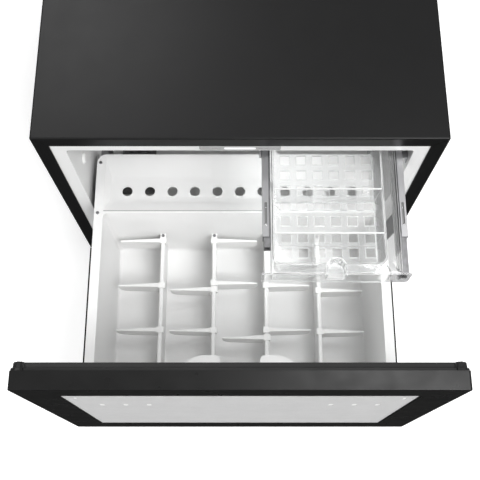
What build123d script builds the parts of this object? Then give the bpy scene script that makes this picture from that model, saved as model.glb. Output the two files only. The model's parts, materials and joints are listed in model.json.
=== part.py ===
from build123d import *
import os

# A drawer minibar: an insulated cabinet whose whole front pulls out as a bottle drawer, with a
# clear tray on its own slides above it. The drawer and the tray stand open, as in use.
# X runs across, Y from the front to the back and Z up, in millimetres.
# The origin is the middle of the cabinet's base.

# Casing
casing_width = 570.0
casing_height = 460.0
sheet = 1.2                # steel of the casing, base pan, back panel and rear cover
frame_width = 22.0         # folded black frame round the liner
edge_round = 2.5           # bend along the casing's outer edges
mitre_slit = 0.5           # gap of the frame's mitred corners
side_wall = 42.0           # casing face to liner face
base_wall = 42.0
top_wall = 37.5
rear_wall = 52.0
pan_lip = 18.0             # upturned edges of the base pan
window_gap = 2.0           # room round the cooling block in the back panel

# Liner
liner_skin = 2.0
liner_round = 5.0
liner_rear_round = 5.0
flange_lap = 6.0           # liner flange hidden behind the front frame
pad_depth = 6.3            # moulded pads that carry the drawer slides
pad_margin = 1.5           # pad beyond the slide, above and below
cap_radius = 9.0           # caps over the fixing points in the side walls
cap_dome = 4.0
cap_edge = 2.5
cap_setback = 43.0         # cap centre behind the cabinet's front
cap_drop = 114.0           # cap centre below the liner's ceiling

# Lamp in the liner's top flange
lamp_width = 113.0
lamp_height = 12.0
lamp_depth = 5.0
lamp_proud = 1.0           # lamp face before the flange, clear of the closed gasket
lamp_fit = 0.2             # lamp to its pocket in the flange
lamp_round = 3.0
lamp_edge = 1.2
lens_width = 44.0
lens_height = 7.5
lens_inset = 1.5
lens_round = 2.0
lens_sink = 0.3            # lens face below the lamp's face
vent_width = 13.0
vent_height = 2.6
vent_pitch = 16.5
vent_gap = 4.0             # lens to the first vent
vent_count = 2             # vents on each side of the lens

# Air grille on the liner's floor
grille_width = 64.0
grille_length = 150.0
grille_height = 9.0
grille_wall = 2.0
grille_setback = 92.0      # front edge behind the cabinet's front
grille_inset = 13.0        # from the round at the foot of the liner's side
grille_slots = 3
grille_end = 8.0           # solid ends beyond the slots
grille_round = 4.0
grille_edge = 2.0
grille_open = 0.5          # slot width as a share of the slot pitch

# Drawer front
gasket_depth = 12.0
seal_gap = 0.5             # gasket to front frame with the drawer closed
drawer_open = 297.5        # travel from closed to where the drawer stands
door_thick = 24.5
door_bottom_gap = 6.0
door_top_gap = 11.0
door_round = 3.0
door_border = 52.0
door_bevel = 1.6
panel_recess = 2.0
panel_thick = 1.5
panel_lap = 6.0
slot_width = 7.0           # upright slots in the door panel, for fixing a furniture front
slot_length = 18.0
slot_mid = 161.0           # middle slot of each group from the centre line
slot_pitch = 33.0
slot_count = 3             # slots in each group
slot_drop = 102.0          # slot centres below the panel's visible top edge
corner_slot_width = 4.5
corner_slot_length = 14.0
corner_slot_inset = 14.0
corner_slot_drop = 37.0
clip_recess = 0.3          # slot clips below the panel's face
inner_skin = 2.0           # white inner panel of the door
inner_lap = 7.0            # inner panel's flange beyond the plug
plug_depth = 14.5          # insulated plug that enters the liner's mouth
plug_gap = 4.5             # plug to liner, all round
plug_round = 14.0
plug_edge = 7.0

# Gasket
gasket_inset = 4.0
gasket_width = 17.0
gasket_base = 4.5
gasket_round = 6.0
gasket_inner_round = 3.0
bead_inset = 5.5
bead_width = 9.0
bead_edge = 2.0

# Drawer insert
insert_length = 376.0
insert_skin = 2.5
rim_thick = 2.5
rim_width = 14.5
rim_front_width = 25.5
rim_rear_width = 6.3
rim_rear_round = 15.0
rim_front_round = 4.0
well_depth = 177.0
well_draft = 2.5           # how much each wall leans in from rim to floor
well_round = 7.0
floor_round = 6.0
floor_edge = 6.0           # chamfer under the well's floor
floor_gap = 20.5           # insert to liner floor
well_gap = 0.5             # insert wall to side frame
rear_gap = 12.0            # closed drawer to liner's rear
shelf_zone = 103.0         # insert's rear edge to the well's mouth
shelf_length = 91.0
shelf_drop = 10.0
shelf_front_run = 15.0     # length of the slopes round the shelf's floor
shelf_side_run = 8.0
shelf_rear_run = 25.0
shelf_hole = 16.7
shelf_hole_pitch = 36.75
shelf_hole_count = 11
shelf_hole_setback = 35.8  # hole centres behind the shelf's front edge
skirt_height = 14.0        # turned-down rear edge of the insert
gusset_count = 4
gusset_step = 3            # shelf holes from rib to rib
gusset_thick = 2.5
gusset_height = 46.0
tab_inner = 30.0           # finger tabs on the front rim, from the centre line
tab_length = 57.0
tab_reach = 18.0
tab_round = 8.0
tab_slope = 34.0           # long rounded end of each tab

# Dividers in the well
divider_count = 4
divider_height = 82.0
divider_wall = 3.0
bead_top_width = 6.5
bead_top_height = 6.0
bead_bevel = 1.2
boss_width = 9.5
boss_length = 7.5
boss_screw_inset = 4.0
divider_fit = 0.2          # divider's ends to the well's walls

# Separator fins: which divider, which side, and how far before the well's rear edge
fin_places = [
    (1, -1, 14.5), (1, -1, 93.5), (1, -1, 169.5),
    (2, 1, 14.5), (2, 1, 89.5), (2, -1, 100.5), (2, -1, 170.5),
    (3, 1, 93.5), (3, 1, 169.5), (3, -1, 182.5),
    (4, 1, 102.5), (4, 1, 172.5),
]
fin_length = 67.0
fin_height = 34.0
fin_root = 7.0
fin_tip = 2.2
fin_droop = 4.0
fin_round = 16.0
hub_width = 12.0
hub_length = 10.0
hub_height = 11.0
hub_edge = 1.2
hub_cap = 2.0              # hub above the divider's bead
clip_gap = 0.3             # hub to divider

# Drawer slides and side frames
slide_thick = 12.7
slide_height = 45.0
slide_length = 350.0
slide_drop = 40.0          # slide below the side frame's flange
slide_gauge = 1.2
slide_play = 0.5
ball_gap = 2.4
rail_gap = 3.0             # closed door plug to the slides' front ends
frame_sheet = 1.5
web_margin = 4.0           # side frame's web below the slide
frame_tuck = 1.0           # side frame's flange inside the rim's edge
frame_overhang = 3.0       # front part of that flange beyond the rim's edge
frame_lip = 215.0          # length of that front part
foot_width = 13.0

# Clear tray
tray_width = 201.8         # over both slides
tray_side_gap = 12.0       # right slide to liner wall
tray_drop = 13.5           # tray rim below the liner's ceiling
tray_length = 290.0
tray_depth = 52.0
tray_skin = 2.5
tray_lip = 17.0            # front plate to tray wall
tray_rim_left = 5.0
tray_rim_right = 21.3
tray_rim_rear = 9.0
tray_draft = 3.0
tray_round = 8.0
tray_plate = 38.0          # front plate's height
tray_plate_round = 6.0
tray_skirt = 27.0          # side plates that carry the slides
tray_hole = 14.0
tray_hole_pitch = 24.0
tray_columns = 6
tray_rows = 10
tray_hole_shift = 6.5      # holes behind the floor's middle
tray_hole_side_shift = 4.0 # holes right of the floor's middle
tray_divider_thick = 2.5
tray_divider_count = 2
tray_divider_setback = 59.0      # first cross wall behind the tray's front
tray_divider_pitch = 65.0
tray_divider_gap = 0.3
pull_radius = 11.5         # finger pull in the front plate
pull_reach = 11.0          # straight part of the pull
pull_depth = 24.0
tray_open = 180.0          # travel from home to where the tray stands
tray_mid_open = 128.5
tray_home_gap = 3.0        # closed door plug to tray front
tray_end_gap = 0.7         # tray's front plate to the slides' ends
tray_slide_height = 27.0
tray_slide_length = 250.0
tray_ball_gap = 1.5
tray_rail_setback_left = 40.0    # tray rail's end behind the tray's front
tray_rail_setback_right = 3.0
rail_slot_length = 34.0    # ball windows in the middle rails' edges
rail_slot_width = 3.6
rail_slot_setback = 16.5
bracket_sheet = 1.5
hanger_foot = 16.0

# Cooling unit on the rear
sink_drop = 92.5           # centre of the cooling stack below the liner's ceiling
spacer_size = 60.0
module_thick = 4.0
cold_width = 180.0
cold_height = 116.0
cold_base = 6.0
cold_fin_depth = 16.0
cold_fin_thick = 2.0
cold_fin_count = 13
hot_size = 150.0
hot_base = 8.0
hot_fin_depth = 30.0
hot_fin_thick = 1.6
hot_fin_count = 17
fan_size = 120.0
fan_depth = 25.0
fan_wall = 4.0             # duct to the frame's edge
fan_corner = 6.0
fan_hole_pitch = 105.0
fan_hole_radius = 2.2
fan_spoke = 4.0
fan_hub_radius = 19.0
fan_hub_edge = 3.0
fan_cup = 4.0              # motor cup's thickness
fan_blades = 7
fan_blade_thick = 1.6
fan_root_chord = 17.0
fan_tip_chord = 26.0
fan_tip_gap = 1.2
fan_pitch_root = 50.0
fan_pitch_tip = 28.0
fan_shaft_radius = 2.5
fan_shaft_fit = 0.05
fan_hub_gap = 0.6          # rotor to motor cup
fan_front_gap = 2.0        # rotor to heat sink
fan_root_sunk = 1.5        # blade roots inside the hub
cover_width = 236.0
cover_height = 196.0
cover_gap = 9.0            # fan to the cover's inside
cover_flange = 14.0
cover_round = 10.0
cover_edge = 4.0
louvre_count = 13
louvre_height = 5.0
louvre_width = 84.0
louvre_gap = 12.0
side_slot_count = 7
side_slot_length = 40.0
box_width = 112.0          # control box
box_height = 74.0
box_depth = 46.0
box_round = 5.0
box_edge = 2.0
box_inset = 53.0           # box's outer edge from the casing's side
box_base = 60.0
inlet_width = 31.0
inlet_height = 25.0
inlet_rim = 2.5
inlet_round = 3.0
inlet_corner = 4.0         # cut upper corners of the socket
inlet_depth = 18.0
inlet_wall = 2.0
pin_size = 4.0
pin_thick = 2.0
pin_pitch = 7.0
pin_length = 12.0
pin_lift = 2.0             # middle pin above, outer pins below the socket's centre

# Screws
screw_radius = 2.6
screw_head = 1.6
big_screw_radius = 4.0
big_screw_head = 2.4
rim_screw_inset = 5.8
screw_edge = 8.0           # casing screws from the back panel's edge
screw_sides = 12

# Across
half_width = casing_width / 2
frame_half = half_width - frame_width
liner_half = half_width - side_wall
pad_face = liner_half - pad_depth
slide_face = pad_face - slide_thick
web_face = slide_face - frame_sheet
well_half = web_face - well_gap - insert_skin
insert_half = well_half + rim_width
plug_half = liner_half - plug_gap
cell_pitch = 2 * well_half / (divider_count + 1)
box_left = half_width - box_inset

# From front to back
plug_entry = plug_depth - gasket_depth - seal_gap
liner_depth = plug_entry + insert_length + rear_gap
casing_depth = liner_depth + rear_wall
front_y = -casing_depth / 2
back_y = casing_depth / 2
liner_back = front_y + liner_depth
lamp_face = front_y + sheet - lamp_proud
door_back = front_y - seal_gap - gasket_depth - drawer_open
door_front = door_back - door_thick
plug_back = door_back + plug_depth
insert_rear = plug_back + insert_length
well_front = plug_back + rim_front_width
well_rear = insert_rear - shelf_zone
shelf_rear = insert_rear - rim_rear_width
shelf_front = shelf_rear - shelf_length
rail_start = front_y + plug_entry + rail_gap
tray_front = front_y + plug_entry + tray_home_gap - tray_open
tray_rear = tray_front + tray_length
tray_rail_start = rail_start + tray_skin + tray_end_gap
hot_back = back_y + hot_base + hot_fin_depth
fan_back = hot_back + fan_depth
cover_back = fan_back + cover_gap

# Up
liner_top = casing_height - top_wall
frame_top = casing_height - frame_width
well_floor = base_wall + floor_gap + insert_skin
rim_top = well_floor + well_depth
seat = rim_top - rim_thick
slide_mid = seat - frame_sheet - slide_drop - slide_height / 2
divider_top = well_floor + divider_height
door_bottom = door_bottom_gap
door_top = casing_height - door_top_gap
plug_bottom = base_wall + plug_gap
plug_top = liner_top - plug_gap
tray_top = liner_top - tray_drop
tray_floor = tray_top - tray_depth
tray_slide_mid = tray_top - tray_slide_height / 2
sink_mid = liner_top - sink_drop

# The tray, across
tray_right = liner_half - tray_side_gap
tray_left = tray_right - tray_width
tub_left = tray_left + slide_thick
tub_right = tray_right - slide_thick
tray_mid_x = (tray_left + tray_right) / 2
tub_mid_x = (tub_left + tray_rim_left + tub_right - tray_rim_right) / 2


def rect(x0, x1, y0, y1, round_by=0.0):
    """A rectangle between two edges each way, with rounded corners if asked."""
    width = x1 - x0
    height = y1 - y0
    shape = RectangleRounded(width, height, round_by) if round_by else Rectangle(width, height)
    return Pos((x0 + x1) / 2, (y0 + y1) / 2) * shape


def upright(sketch, y0, y1):
    """Extrude a sketch drawn in X and Z, from y0 back to y1."""
    return extrude(Plane.XZ.offset(-y1) * sketch, y1 - y0)


def flat(sketch, z0, z1):
    """Extrude a sketch drawn in X and Y, from z0 up to z1."""
    return extrude(Pos(0, 0, z0) * sketch, z1 - z0)


def sideways(sketch, x0, x1):
    """Extrude a sketch drawn in Y and Z, from x0 across to x1."""
    return extrude(Plane.YZ.offset(x0) * sketch, x1 - x0)


def spread(count, pitch):
    """Evenly spaced places about zero."""
    return [(i - (count - 1) / 2) * pitch for i in range(count)]


def both_sides(piece):
    """A piece and its mirror image across the centre line."""
    return piece + mirror(piece, Plane.YZ)


def screw(radius, head):
    """A low screw head standing on the XY plane."""
    return extrude(RegularPolygon(radius, screw_sides), head)


# Casing

def casing_wrap():
    """Top and sides folded from one sheet, with the front edges turned in as the frame."""
    shell = upright(rect(-half_width, half_width, sheet, casing_height), front_y, back_y)
    front = shell.faces().sort_by(Axis.Y)[0].edges()
    bends = front.sort_by(Axis.Z)[1:] + shell.edges().filter_by(Axis.Y).group_by(Axis.Z)[-1]
    shell = fillet(bends, edge_round)
    inside = half_width - sheet
    shell -= upright(rect(-inside, inside, 0, casing_height - sheet), front_y + sheet, back_y)
    shell -= upright(rect(-frame_half, frame_half, 0, frame_top), front_y, front_y + sheet)
    corner = Pos(half_width - frame_width / 2, front_y, casing_height - frame_width / 2)
    slit = corner * Rot(0, -45, 0) * Box(frame_width, 2 * sheet, mitre_slit)
    return shell - both_sides(slit)


def base_pan():
    """Flat pan under the casing, with upturned sides and the frame's lower bar."""
    pan = upright(rect(-half_width, half_width, 0, sheet), front_y, back_y)
    outer = half_width - sheet
    lip = upright(rect(outer - sheet, outer, 0, pan_lip), front_y + sheet, back_y - sheet)
    bar = upright(rect(-frame_half, frame_half, 0, frame_width), front_y, front_y + sheet)
    return pan + both_sides(lip) + bar


def cooling_window(room):
    """The square passage of the cooling block, drawn in X and Z."""
    half = spacer_size / 2 + room
    middle = sink_mid
    return rect(-half, half, middle - half, middle + half)


def back_panel():
    """Rear sheet with the passage for the cooling block."""
    inside = half_width - sheet
    face = rect(-inside, inside, sheet, casing_height - sheet)
    return upright(face - cooling_window(window_gap), back_y - sheet, back_y)


def liner_room(grow):
    """The liner's inside, grown by a skin."""
    section = rect(
        -liner_half - grow, liner_half + grow, base_wall - grow, liner_top + grow, liner_round + grow
    )
    room = upright(section, front_y + sheet, liner_back + grow)
    return fillet(room.faces().sort_by(Axis.Y)[-1].edges(), liner_rear_round + grow)


def liner_flange():
    """Plate round the liner's mouth, lapped behind the front frame."""
    reach = frame_half + flange_lap
    plate = rect(-reach, reach, frame_width - flange_lap, frame_top + flange_lap)
    return upright(plate, front_y + sheet, front_y + sheet + liner_skin)


def inner_liner():
    """Moulded liner with its flange and the pads for the drawer slides."""
    body = liner_room(liner_skin) + liner_flange() - liner_room(0)
    half_pad = slide_height / 2 + pad_margin
    section = rect(pad_face, liner_half + liner_skin / 2, slide_mid - half_pad, slide_mid + half_pad)
    pad = upright(section, rail_start, rail_start + slide_length)
    pad = fillet(pad.edges().filter_by(Axis.Z).group_by(Axis.X)[0], pad_depth / 2)
    body += both_sides(pad)
    return body - upright(cooling_window(0), liner_back, liner_back + liner_skin) - lamp_pocket()


def foam_core():
    """Insulation that fills the casing round the liner."""
    inside = half_width - sheet
    fill = upright(
        rect(-inside, inside, sheet, casing_height - sheet), front_y + sheet, back_y - sheet
    )
    fill -= liner_room(liner_skin) + liner_flange()
    lip = upright(rect(inside - sheet, inside, 0, pan_lip), front_y + sheet, back_y - sheet)
    fill -= both_sides(lip)
    return fill - upright(cooling_window(0), liner_back, back_y) - lamp_pocket()


def wall_plugs():
    """Domed caps over the fixing points in the liner's side walls."""
    cap = Pos(0, 0, cap_dome / 2) * Cylinder(cap_radius, cap_dome)
    cap = chamfer(cap.edges().group_by(Axis.Z)[-1], cap_edge)
    place = Pos(liner_half, front_y + cap_setback, liner_top - cap_drop) * Rot(0, -90, 0)
    return both_sides(place * cap)


def lamp_outline(grow=0.0):
    """The lamp's front outline in X and Z, in the liner's top flange."""
    middle = (liner_top + frame_top) / 2
    across = lamp_width / 2 + grow
    half = lamp_height / 2 + grow
    return rect(-across, across, middle - half, middle + half, lamp_round + grow)


def lamp_pocket():
    """Room for the lamp in the flange and the foam behind it."""
    return upright(lamp_outline(lamp_fit), front_y + sheet, lamp_face + lamp_depth)


def lens_outline():
    """The lens's outline, in the middle of the lamp."""
    middle = (liner_top + frame_top) / 2
    half = lens_height / 2
    return rect(-lens_width / 2, lens_width / 2, middle - half, middle + half, lens_round)


def lamp_housing():
    """Lamp body with a recess for the lens and vents beside it."""
    sunk = lamp_face + lens_inset
    body = upright(lamp_outline(), lamp_face, lamp_face + lamp_depth)
    body = chamfer(body.faces().sort_by(Axis.Y)[0].edges(), lamp_edge)
    body -= upright(lens_outline(), lamp_face, sunk)
    middle = (liner_top + frame_top) / 2
    for i in range(vent_count):
        x = lens_width / 2 + vent_gap + vent_width / 2 + i * vent_pitch
        vent = Pos(x, middle) * SlotOverall(vent_width, vent_height)
        body -= both_sides(upright(vent, lamp_face, sunk))
    return body


def lamp_lens():
    """Milky lens set in the lamp body."""
    return upright(lens_outline(), lamp_face + lens_sink, lamp_face + lens_inset)


def air_grille():
    """Low slotted duct on the liner's floor."""
    x1 = -liner_half + liner_round + grille_inset + grille_width
    y0 = front_y + grille_setback
    plan = rect(x1 - grille_width, x1, y0, y0 + grille_length, grille_round)
    cover = flat(plan, base_wall, base_wall + grille_height)
    cover = chamfer(cover.faces().sort_by(Axis.Z)[-1].edges(), grille_edge)
    hollow = offset(plan, -grille_wall)
    cover -= flat(hollow, base_wall + grille_wall, base_wall + grille_height - grille_wall)
    pitch = grille_width / (grille_slots + 1)
    for place in spread(grille_slots, pitch):
        slot = Pos(x1 - grille_width / 2 + place, y0 + grille_length / 2)
        slot *= Rectangle(pitch * grille_open, grille_length - 2 * grille_end)
        cover -= flat(slot, base_wall + grille_height - grille_wall, base_wall + grille_height)
    return cover


# Slides

def channel(u0, u1, height, gauge, web_high):
    """C section with its web at the low or the high end of u."""
    body = rect(u0, u1, -height / 2, height / 2)
    hollow_low = u0 if web_high else u0 + gauge
    hollow_high = u1 - gauge if web_high else u1
    return body - rect(hollow_low, hollow_high, gauge - height / 2, height / 2 - gauge)


def slide_section(member, height, gap):
    """One member of a ball slide; u runs from the moving side to the fixed side."""
    step = 2 * (slide_gauge + gap)
    if member == "fixed":
        return channel(slide_gauge, slide_thick, height, slide_gauge, True)
    if member == "middle":
        web = slide_thick - slide_gauge - slide_play
        return channel(2 * slide_gauge, web, height - step, slide_gauge, True)
    tip = slide_thick - 2 * slide_gauge - 2 * slide_play
    return channel(0, tip, height - 2 * step, slide_gauge, False)


def drawer_rail(member, start, side):
    """A member of the left (-1) or right (+1) drawer slide."""
    section = Pos(slide_face, slide_mid) * slide_section(member, slide_height, ball_gap)
    rail = upright(section, start, start + slide_length)
    return rail if side > 0 else mirror(rail, Plane.YZ)


def tray_rail(member, start, side, end=None):
    """A member of the tray's left (-1) or right (+1) slide."""
    section = slide_section(member, tray_slide_height, tray_ball_gap)
    rail = upright(section, start, end if end else start + tray_slide_length)
    if member == "middle":
        edge = tray_slide_height / 2
        middle = start + rail_slot_setback + rail_slot_length / 2
        window = Pos(slide_thick / 2, middle) * Rot(0, 0, 90)
        window *= SlotOverall(rail_slot_length, rail_slot_width)
        rail -= flat(window, -edge, edge)
    if side < 0:
        rail = mirror(rail, Plane.YZ)
    return Pos(tub_right if side > 0 else tub_left, 0, tray_slide_mid) * rail


def tray_hanger():
    """Angle that hangs the tray's left slide from the liner's ceiling."""
    web = rect(tray_left - bracket_sheet, tray_left, tray_top - tray_slide_height, liner_top)
    foot = rect(tray_left - hanger_foot, tray_left, liner_top - bracket_sheet, liner_top)
    return upright(web + foot, tray_rail_start, tray_rail_start + tray_slide_length)


def tray_wall_bracket():
    """Stepped bracket that carries the tray's right slide on the liner's wall."""
    low = tray_top - tray_slide_height
    web = rect(tray_right, tray_right + bracket_sheet, low, tray_top)
    step = rect(tray_right, liner_half, low, low + bracket_sheet)
    foot = rect(liner_half - bracket_sheet, liner_half, low - hanger_foot, low + bracket_sheet)
    return upright(web + step + foot, tray_rail_start, tray_rail_start + tray_slide_length)


# Drawer front

def door_frame():
    """Black moulded frame with a bevelled window for the panel."""
    body = upright(rect(-half_width, half_width, door_bottom, door_top), door_front, door_back)
    body = fillet(body.edges().filter_by(Axis.Y), door_round)
    body = fillet(body.faces().sort_by(Axis.Y)[0].edges(), door_round / 2)
    half = half_width - door_border
    low = door_bottom + door_border
    high = door_top - door_border
    body -= upright(rect(-half, half, low, high), door_front, door_back)
    mouth = body.faces().sort_by(Axis.Y)[0].inner_wires()[0].edges()
    body = chamfer(mouth, door_bevel)
    seat_half = half + panel_lap
    rabbet = rect(-seat_half, seat_half, low - panel_lap, high + panel_lap)
    return body - upright(rabbet, door_front + panel_recess, door_back)


def panel_outline():
    """The panel's full outline, in the frame's rabbet."""
    half = half_width - door_border + panel_lap
    return rect(-half, half, door_bottom + door_border - panel_lap, door_top - door_border + panel_lap)


def panel_slots(shrink=0.0):
    """Upright slots in the door panel, drawn in X and Z."""
    top = door_top - door_border
    corner_x = half_width - door_border - corner_slot_inset
    slots = Sketch()
    for place in spread(slot_count, slot_pitch):
        slot = Rot(0, 0, 90) * SlotOverall(slot_length - shrink, slot_width - shrink)
        slots += Pos(slot_mid + place, top - slot_drop) * slot
    corner = Rot(0, 0, 90) * SlotOverall(corner_slot_length - shrink, corner_slot_width - shrink)
    slots += Pos(corner_x, top - corner_slot_drop) * corner
    return slots + mirror(slots, Plane.YZ)


def door_panel():
    """Light grey panel behind the frame's bevelled edge."""
    face = door_front + panel_recess
    return upright(panel_outline() - panel_slots(), face, face + panel_thick)


def panel_clips():
    """White clips that close the panel's slots."""
    face = door_front + panel_recess
    return upright(panel_slots(2 * clip_recess), face + clip_recess, face + panel_thick)


def plug_room(grow):
    """The door plug's outside, shrunk by a skin when grow is negative."""
    section = rect(
        -plug_half - grow, plug_half + grow, plug_bottom - grow, plug_top + grow, plug_round + grow
    )
    body = upright(section, door_back, plug_back + grow)
    return chamfer(body.faces().sort_by(Axis.Y)[-1].edges(), plug_edge + grow)


def door_inner_panel():
    """White moulded inner panel: a flange on the frame and a hollow plug."""
    reach = plug_half + inner_lap
    plate = rect(-reach, reach, plug_bottom - inner_lap, plug_top + inner_lap)
    flange = upright(plate, door_back, door_back + inner_skin)
    return flange + plug_room(0) - plug_room(-inner_skin)


def door_foam():
    """Insulation between the door panel and the inner panel."""
    face = door_front + panel_recess + panel_thick
    return upright(panel_outline(), face, door_back) + plug_room(-inner_skin)


def gasket():
    """Stepped rubber seal round the door's back."""
    def ring(inset, width, y0, y1):
        x = half_width - inset
        z0 = door_bottom + inset
        z1 = door_top - inset
        outer = rect(-x, x, z0, z1, gasket_round)
        inner = rect(width - x, x - width, z0 + width, z1 - width, gasket_inner_round)
        return upright(outer - inner, y0, y1)

    base = ring(gasket_inset, gasket_width, door_back, door_back + gasket_base)
    inset = gasket_inset + bead_inset
    bead = ring(inset, bead_width, door_back + gasket_base, door_back + gasket_depth)
    bead = chamfer(bead.faces().sort_by(Axis.Y)[-1].edges(), bead_edge)
    return base + bead


# Drawer insert

def well_room(grow):
    """The well's inside, grown by a skin: drafted walls and a rounded floor."""
    def level(lean, z):
        plan = rect(
            lean - well_half - grow, well_half + grow - lean,
            well_front - grow + lean, well_rear + grow - lean, well_round + grow,
        )
        return Pos(0, 0, z) * plan

    room = loft([level(0, rim_top), level(well_draft, well_floor - grow)], ruled=True)
    foot = room.faces().sort_by(Axis.Z)[0].edges()
    return chamfer(foot, floor_edge) if grow else fillet(foot, floor_round)


def shelf_room(grow):
    """The shallow shelf behind the well, with sloped edges, grown by a skin."""
    def level(share, z):
        side = well_half + grow - share * shelf_side_run
        front = shelf_front - grow + share * shelf_front_run
        rear = shelf_rear + grow - share * shelf_rear_run
        return Pos(0, 0, z) * rect(-side, side, front, rear, well_round + grow)

    return loft([level(0, rim_top), level(1, rim_top - shelf_drop - grow)], ruled=True)


def finger_tab():
    """One finger tab on the front rim: a short round end and a long sloped one."""
    inner = tab_inner
    outer = tab_inner + tab_length
    root = well_front - rim_thick
    edge = well_front + tab_reach
    plan = make_face(
        [
            Line((inner, root), (inner, edge - tab_round)),
            RadiusArc((inner, edge - tab_round), (inner + tab_round, edge), tab_round),
            Line((inner + tab_round, edge), (outer - tab_slope, edge)),
            TangentArc([(outer - tab_slope, edge), (outer, well_front)], tangent=(1, 0)),
            Line((outer, well_front), (outer, root)),
            Line((outer, root), (inner, root)),
        ]
    )
    return flat(plan, seat, rim_top)


def gussets():
    """Ribs under the shelf that prop the well's rear wall."""
    corner = well_rear + insert_skin - well_draft
    under = rim_top - shelf_drop - insert_skin
    reach = shelf_rear - shelf_rear_run - corner
    rib = make_face(
        Polyline((corner, under), (corner + reach, under), (corner, under - gusset_height), close=True)
    )
    ribs = Part()
    for x in spread(gusset_count, gusset_step * shelf_hole_pitch):
        ribs += sideways(rib, x - gusset_thick / 2, x + gusset_thick / 2)
    return ribs


def drawer_insert():
    """White tub: rim, deep well, holed rear shelf, finger tabs, rear skirt and ribs."""
    plan = rect(-insert_half, insert_half, plug_back, insert_rear)
    corners = plan.vertices().group_by(Axis.Y)
    plan = fillet(corners[-1], rim_rear_round)
    plan = fillet(plan.vertices().group_by(Axis.Y)[0], rim_front_round)
    body = flat(plan, seat, rim_top)
    skirt = plan - offset(plan, -rim_thick)
    skirt &= rect(-web_face, web_face, shelf_rear, insert_rear)
    body += flat(skirt, rim_top - skirt_height, rim_top)
    body += well_room(insert_skin) + shelf_room(insert_skin) + gussets()
    body -= well_room(0) + shelf_room(0)
    for x in spread(shelf_hole_count, shelf_hole_pitch):
        hole = Pos(x, shelf_front + shelf_hole_setback) * Circle(shelf_hole / 2)
        body -= flat(hole, rim_top - shelf_drop - insert_skin, rim_top)
    return body + both_sides(finger_tab())


def side_frame(side):
    """Black angle under the rim, with a foot against the door plug."""
    web_low = slide_mid - slide_height / 2 - web_margin
    web = rect(web_face, slide_face, web_low, seat)
    flange = rect(web_face, insert_half - frame_tuck, seat - frame_sheet, seat)
    angle = upright(web + flange, plug_back, insert_rear - rim_rear_round)
    lip = rect(web_face, insert_half + frame_overhang, seat - frame_sheet, seat)
    angle += upright(lip, plug_back, plug_back + frame_lip)
    foot = upright(
        rect(web_face, web_face + foot_width, web_low, seat), plug_back, plug_back + frame_sheet
    )
    frame = angle + foot
    return frame if side > 0 else mirror(frame, Plane.YZ)


def divider_x(number):
    """Where divider 1 to 4 stands, from the left."""
    return spread(divider_count, cell_pitch)[number - 1]


def well_lean(z):
    """How far the well's walls lean in at a height."""
    return well_draft * (rim_top - z) / well_depth


def divider_side(z0, z1):
    """Side view of a divider between two heights, in Y and Z, ending at the drafted walls."""
    front = well_front + divider_fit
    rear = well_rear - divider_fit
    low = well_lean(z0)
    high = well_lean(z1)
    return make_face(
        Polyline((front + low, z0), (rear - low, z0), (rear - high, z1), (front + high, z1), close=True)
    )


def divider(number):
    """Low wall with a bead along its top and a screw boss at its rear end."""
    side = divider_side(well_floor, divider_top)
    side = fillet(side.vertices().group_by(Axis.Y)[0], floor_round)
    body = sideways(side, -divider_wall / 2, divider_wall / 2)
    bead_low = divider_top - bead_top_height
    bead = sideways(divider_side(bead_low, divider_top), -bead_top_width / 2, bead_top_width / 2)
    bead = chamfer(bead.edges().filter_by(Axis.Y), bead_bevel)
    rear = well_rear - divider_fit - well_lean(bead_low)
    boss = rect(-boss_width / 2, boss_width / 2, rear - boss_length, rear)
    body += bead + flat(boss, bead_low, divider_top)
    return Pos(divider_x(number), 0, 0) * body


def divider_screws():
    """A screw in each divider's rear boss."""
    y = well_rear - well_lean(divider_top) - boss_screw_inset
    places = [Pos(divider_x(n + 1), y, divider_top) for n in range(divider_count)]
    return Compound([place * screw(screw_radius, screw_head) for place in places])


def rim_screws():
    """Screws that hold the insert's rim on the side frames."""
    x = insert_half - rim_screw_inset
    rows = (insert_rear - rim_rear_round, well_rear)
    places = [Pos(side * x, y, rim_top) for side in (-1, 1) for y in rows]
    return Compound([place * screw(screw_radius, screw_head) for place in places])


def fin(number, side, setback):
    """A separator fin: a clip on the divider's bead and a tapering blade."""
    top = divider_top + hub_cap
    half = hub_width / 2
    outline = rect(-half, half, top - hub_height, top)
    outline = chamfer(outline.vertices(), hub_edge)
    clip = upright(outline, -hub_length / 2, hub_length / 2)
    grip_half = bead_top_width / 2 + clip_gap
    slot_half = divider_wall / 2 + clip_gap
    grip_low = divider_top - bead_top_height - clip_gap
    grip = rect(-grip_half, grip_half, grip_low, divider_top + clip_gap)
    grip += rect(-slot_half, slot_half, top - hub_height, divider_top)
    clip -= upright(grip, -hub_length / 2, hub_length / 2)
    root = grip_half
    tip = half + fin_length
    low = top - fin_height
    face = make_face(
        Polyline(
            (root, top), (tip, top - fin_droop), (tip, low), (half, low),
            (half, top - hub_height / 2), (root, top - hub_height / 2), close=True,
        )
    )
    face = fillet(face.vertices().group_by(Axis.Y)[0].sort_by(Axis.X)[-1], fin_round)
    taper = make_face(
        Polyline(
            (root, -fin_root / 2), (tip, -fin_tip / 2), (tip, fin_tip / 2), (root, fin_root / 2),
            close=True,
        )
    )
    blade = upright(face, -fin_root, fin_root) & flat(taper, low, top)
    piece = clip + blade
    if side < 0:
        piece = mirror(piece, Plane.YZ)
    return Pos(divider_x(number), well_rear - setback, 0) * piece


# Tray

def tub_room(grow):
    """The tray's inside, grown by a skin."""
    def level(lean, z):
        shrink = lean - grow
        plan = rect(
            tub_left + tray_rim_left + shrink, tub_right - tray_rim_right - shrink,
            tray_front + tray_lip + shrink, tray_rear - tray_rim_rear - shrink, tray_round + grow,
        )
        return Pos(0, 0, z) * plan

    return loft([level(0, tray_top), level(tray_draft, tray_floor - grow)], ruled=True)


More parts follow.
